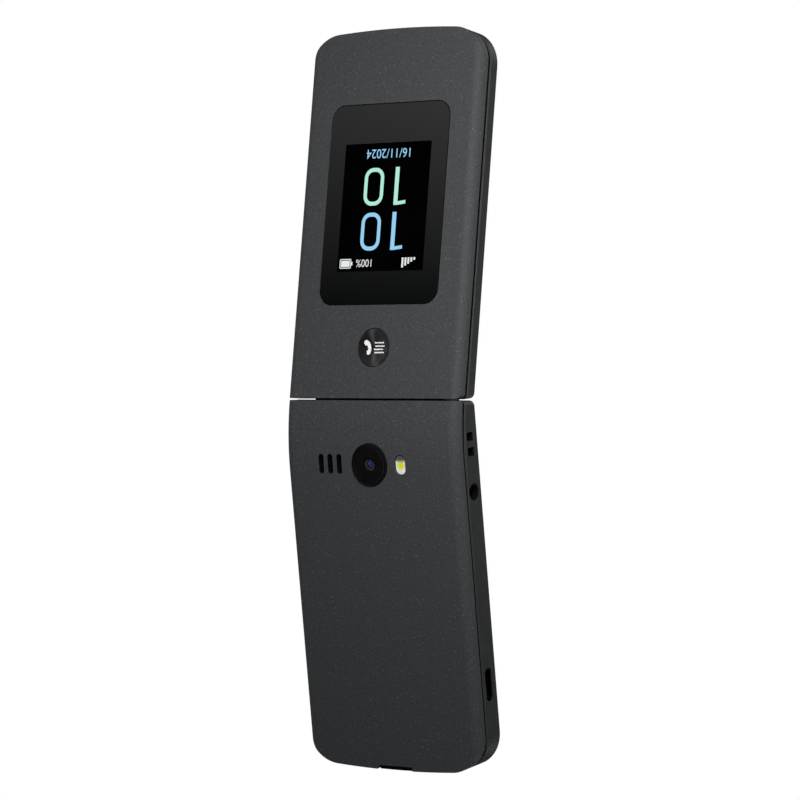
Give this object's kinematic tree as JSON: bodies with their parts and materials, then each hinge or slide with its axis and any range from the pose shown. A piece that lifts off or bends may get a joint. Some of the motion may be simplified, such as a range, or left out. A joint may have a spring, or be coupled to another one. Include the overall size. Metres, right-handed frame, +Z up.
{
  "type": "flip phone",
  "caption": "Open flip phone lying on its back: keypad body and raised lid joined by a barrel hinge, with outer window, camera, side sockets and pressable keys.",
  "frame": {"origin": "middle of the bounding box at its lowest plane, which is the outer face of the camera ring", "axes": "+Z up out of the keypad, +Y from the body towards the lid, +X towards the volume rocker; the hinge axis is parallel to X"},
  "size_m": [0.0574, 0.198, 0.0363],
  "materials": {
    "cover_shell": "fine speckled satin",
    "band_shell": "satin",
    "hinge_shell": "satin",
    "frame_plastic": "moulded",
    "battery_wrap": "printed film",
    "board": "solder mask",
    "dome_foil": "thin sheet",
    "key_rubber": "translucent silicone",
    "key_cap": "satin",
    "nav_cap": "satin",
    "quick_cap": "fine spun rings",
    "lens_ring": "gloss",
    "lens_glass": "clear, dark",
    "camera_black": "matt",
    "flash_clear": "frosted",
    "speaker_black": "matt",
    "socket_plastic": "matt",
    "switch_plastic": "satin",
    "socket_metal": "satin",
    "screw_steel": "plated",
    "hinge_steel": "ground",
    "flex_film": "polyimide film",
    "window_glass": "black border, gloss",
    "display_panel": "panel in a white frame",
    "plate_metal": "sheet",
    "magnet_metal": "plated",
    "bumper_rubber": "matt"
  },
  "bodies": {
    "body": {"back_cover": "cover_shell", "keypad_shell": "band_shell", "chassis": "frame_plastic", "battery": "battery_wrap", "main_board": "board", "dome_sheet": "dome_foil", "key_mat": "key_rubber", "camera_ring": "lens_ring", "camera_glass": "lens_glass", "camera_module": "camera_black", "flash_lens": "flash_clear", "loudspeaker": "speaker_black", "headphone_socket": "socket_plastic", "usb_socket": "socket_metal", "sim_holder": "socket_metal", "vibration_motor": "socket_metal", "volume_switch": "switch_plastic", "body_screws": "screw_steel", "hinge_bracket": "hinge_shell", "hinge_cam_shaft": "hinge_steel", "hinge_sleeve": "hinge_steel", "body_flex": "flex_film"},
    "lid": {"lid_cover": "cover_shell", "lid_bezel": "band_shell", "outer_window": "window_glass", "outer_display": "display_panel", "main_window": "window_glass", "main_display": "display_panel", "lid_plate": "plate_metal", "lid_board": "board", "earpiece": "speaker_black", "lid_magnet": "magnet_metal", "lid_screws": "screw_steel", "lid_bumpers": "bumper_rubber", "hinge_barrel": "hinge_shell", "hinge_can": "hinge_steel", "hinge_follower": "hinge_steel", "hinge_spring": "hinge_steel", "lid_flex": "flex_film"},
    "quick_key": {"quick_key": "quick_cap"},
    "volume_key": {"volume_key": "key_cap"},
    "centre_key": {"centre_key": "nav_cap"},
    "nav_ring": {"nav_ring": "nav_cap"},
    "soft_key_left": {"soft_key_left": "key_cap"},
    "soft_key_right": {"soft_key_right": "key_cap"},
    "call_key": {"call_key": "key_cap"},
    "end_key": {"end_key": "key_cap"},
    "clear_key": {"clear_key": "key_cap"},
    "key_1": {"key_1": "key_cap"},
    "key_2": {"key_2": "key_cap"},
    "key_3": {"key_3": "key_cap"},
    "key_4": {"key_4": "key_cap"},
    "key_5": {"key_5": "key_cap"},
    "key_6": {"key_6": "key_cap"},
    "key_7": {"key_7": "key_cap"},
    "key_8": {"key_8": "key_cap"},
    "key_9": {"key_9": "key_cap"},
    "key_star": {"key_star": "key_cap"},
    "key_0": {"key_0": "key_cap"},
    "key_hash": {"key_hash": "key_cap"}
  },
  "joints": [
    {"name": "lid_hinge", "type": "hinge", "parent": "body", "child": "lid", "pos_m": [0, 0.00072, 0.0107], "axis": [1, 0, 0], "range_deg": [0, 165]},
    {"name": "quick_key_press", "type": "slide", "parent": "lid", "child": "quick_key", "axis": [0, -0.2588, 0.9659], "range_m": [0, 0.0003], "stiffness_N_per_m": 1000, "springref_m": -0.0003},
    {"name": "volume_key_rock", "type": "hinge", "parent": "body", "child": "volume_key", "pos_m": [0.0268, -0.01278, 0.0072], "axis": [0, 0, 1], "range_deg": [-2, 2], "stiffness_Nm_per_rad": 0.05},
    {"name": "centre_key_press", "type": "slide", "parent": "body", "child": "centre_key", "axis": [0, 0, -1], "range_m": [0, 0.0003], "stiffness_N_per_m": 1000, "springref_m": -0.0003},
    {"name": "nav_ring_rock", "type": "hinge", "parent": "body", "child": "nav_ring", "pos_m": [0, -0.02468, 0.0093], "axis": [1, 0, 0], "range_deg": [-1.5, 1.5], "stiffness_Nm_per_rad": 0.05},
    {"name": "soft_key_left_press", "type": "slide", "parent": "body", "child": "soft_key_left", "axis": [0, 0, -1], "range_m": [0, 0.0003], "stiffness_N_per_m": 1000, "springref_m": -0.0003},
    {"name": "soft_key_right_press", "type": "slide", "parent": "body", "child": "soft_key_right", "axis": [0, 0, -1], "range_m": [0, 0.0003], "stiffness_N_per_m": 1000, "springref_m": -0.0003},
    {"name": "call_key_press", "type": "slide", "parent": "body", "child": "call_key", "axis": [0, 0, -1], "range_m": [0, 0.0003], "stiffness_N_per_m": 1000, "springref_m": -0.0003},
    {"name": "end_key_press", "type": "slide", "parent": "body", "child": "end_key", "axis": [0, 0, -1], "range_m": [0, 0.0003], "stiffness_N_per_m": 1000, "springref_m": -0.0003},
    {"name": "clear_key_press", "type": "slide", "parent": "body", "child": "clear_key", "axis": [0, 0, -1], "range_m": [0, 0.0003], "stiffness_N_per_m": 1000, "springref_m": -0.0003},
    {"name": "key_1_press", "type": "slide", "parent": "body", "child": "key_1", "axis": [0, 0, -1], "range_m": [0, 0.0003], "stiffness_N_per_m": 1000, "springref_m": -0.0003},
    {"name": "key_2_press", "type": "slide", "parent": "body", "child": "key_2", "axis": [0, 0, -1], "range_m": [0, 0.0003], "stiffness_N_per_m": 1000, "springref_m": -0.0003},
    {"name": "key_3_press", "type": "slide", "parent": "body", "child": "key_3", "axis": [0, 0, -1], "range_m": [0, 0.0003], "stiffness_N_per_m": 1000, "springref_m": -0.0003},
    {"name": "key_4_press", "type": "slide", "parent": "body", "child": "key_4", "axis": [0, 0, -1], "range_m": [0, 0.0003], "stiffness_N_per_m": 1000, "springref_m": -0.0003},
    {"name": "key_5_press", "type": "slide", "parent": "body", "child": "key_5", "axis": [0, 0, -1], "range_m": [0, 0.0003], "stiffness_N_per_m": 1000, "springref_m": -0.0003},
    {"name": "key_6_press", "type": "slide", "parent": "body", "child": "key_6", "axis": [0, 0, -1], "range_m": [0, 0.0003], "stiffness_N_per_m": 1000, "springref_m": -0.0003},
    {"name": "key_7_press", "type": "slide", "parent": "body", "child": "key_7", "axis": [0, 0, -1], "range_m": [0, 0.0003], "stiffness_N_per_m": 1000, "springref_m": -0.0003},
    {"name": "key_8_press", "type": "slide", "parent": "body", "child": "key_8", "axis": [0, 0, -1], "range_m": [0, 0.0003], "stiffness_N_per_m": 1000, "springref_m": -0.0003},
    {"name": "key_9_press", "type": "slide", "parent": "body", "child": "key_9", "axis": [0, 0, -1], "range_m": [0, 0.0003], "stiffness_N_per_m": 1000, "springref_m": -0.0003},
    {"name": "key_star_press", "type": "slide", "parent": "body", "child": "key_star", "axis": [0, 0, -1], "range_m": [0, 0.0003], "stiffness_N_per_m": 1000, "springref_m": -0.0003},
    {"name": "key_0_press", "type": "slide", "parent": "body", "child": "key_0", "axis": [0, 0, -1], "range_m": [0, 0.0003], "stiffness_N_per_m": 1000, "springref_m": -0.0003},
    {"name": "key_hash_press", "type": "slide", "parent": "body", "child": "key_hash", "axis": [0, 0, -1], "range_m": [0, 0.0003], "stiffness_N_per_m": 1000, "springref_m": -0.0003}
  ]
}
